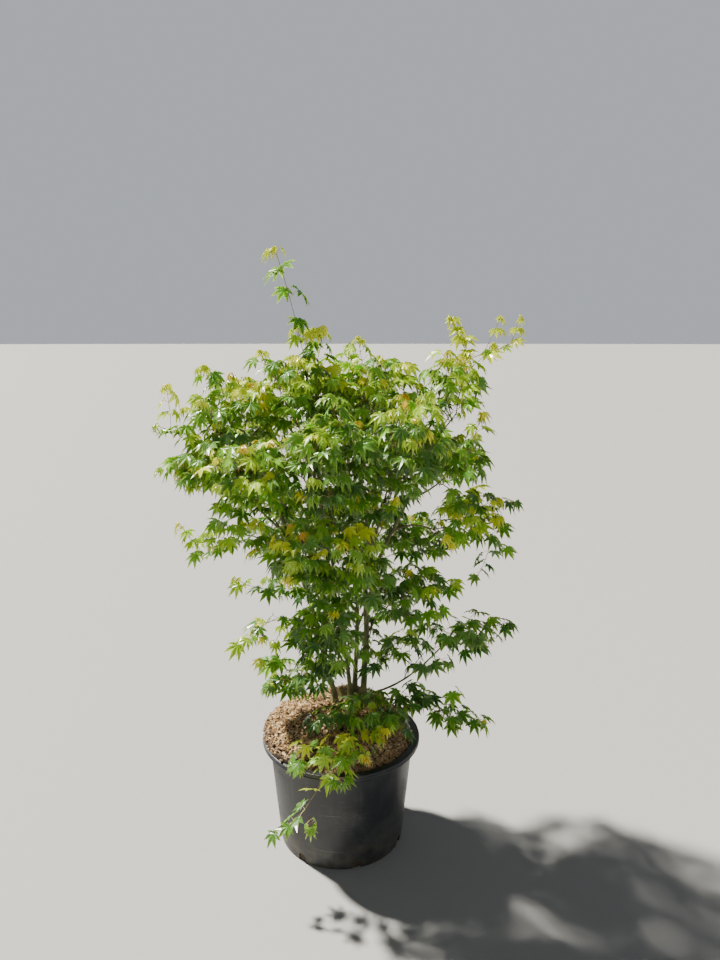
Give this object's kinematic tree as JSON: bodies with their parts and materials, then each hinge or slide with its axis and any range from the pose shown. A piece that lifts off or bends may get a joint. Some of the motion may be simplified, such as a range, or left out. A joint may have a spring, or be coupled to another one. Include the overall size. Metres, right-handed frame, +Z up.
{
  "type": "potted japanese maple",
  "caption": "Green japanese maple grown as a clump of slender stems, with a layered open crown, a leading shoot and low sprays, in a round black nursery pot under bark mulch.",
  "frame": {"origin": "middle of the pot's flat underside, on the surface that the pot stands on", "axes": "+Z up along the pot's axis, -Y towards the plant's front, +X to the right seen from the front"},
  "size_m": [1.1101, 0.8978, 1.7922],
  "materials": {
    "pot_plastic": "dusty black moulded plastic with scuffs",
    "potting_mix": "dark damp potting mix",
    "bark_chips": "rough dry bark chips",
    "stem_bark": "smooth olive-brown bark",
    "bough_bark": "smooth green-brown bark",
    "leaf_deep_green": "satin dark green leaf",
    "leaf_mid_green": "satin mid green leaf",
    "leaf_bright_green": "satin bright green leaf",
    "leaf_yellow_green": "satin yellow-green leaf",
    "leaf_young_gold": "satin young golden leaf"
  },
  "bodies": {
    "root": {"pot": "pot_plastic", "potting_mix": "potting_mix", "bark_mulch": "bark_chips", "stem_right": "stem_bark", "stem_middle": "stem_bark", "stem_left": "stem_bark", "stem_back": "stem_bark", "cut_stub": "stem_bark", "bough_right": "bough_bark", "bough_right_side": "bough_bark", "bough_right_tier": "bough_bark", "bough_right_inner": "bough_bark", "bough_low_right": "bough_bark", "bough_lowest_right": "bough_bark", "bough_front_right": "bough_bark", "bough_front_hang": "bough_bark", "bough_base_front": "bough_bark", "bough_low_centre": "bough_bark", "bough_middle_front": "bough_bark", "bough_front": "bough_bark", "bough_leader": "bough_bark", "bough_low_left_inner": "bough_bark", "bough_low_left": "bough_bark", "bough_left_fronds": "bough_bark", "bough_front_left": "bough_bark", "bough_left": "bough_bark", "bough_back_low_right": "bough_bark", "bough_back_low_left": "bough_bark", "bough_back_right": "bough_bark", "bough_back_left": "bough_bark", "leaves_crown_left": "leaf_yellow_green", "leaves_crown_right": "leaf_yellow_green", "leaves_leader": "leaf_young_gold", "leaves_left_top": "leaf_yellow_green", "leaves_left": "leaf_bright_green", "leaves_left_fronds": "leaf_bright_green", "leaves_front": "leaf_bright_green", "leaves_front_left": "leaf_bright_green", "leaves_front_right": "leaf_bright_green", "leaves_right_top": "leaf_yellow_green", "leaves_right": "leaf_bright_green", "leaves_right_tier": "leaf_mid_green", "leaves_right_inner": "leaf_mid_green", "leaves_low_right": "leaf_deep_green", "leaves_lowest_right": "leaf_deep_green", "leaves_middle_front": "leaf_mid_green", "leaves_low_centre": "leaf_deep_green", "leaves_low_left": "leaf_mid_green", "leaves_low_left_inner": "leaf_deep_green", "leaves_front_hang": "leaf_bright_green", "leaves_base_front": "leaf_deep_green", "leaves_back_top": "leaf_yellow_green", "leaves_back_left": "leaf_bright_green", "leaves_back_right": "leaf_bright_green", "leaves_back_low_left": "leaf_mid_green", "leaves_back_low_right": "leaf_mid_green"}
  },
  "joints": []
}
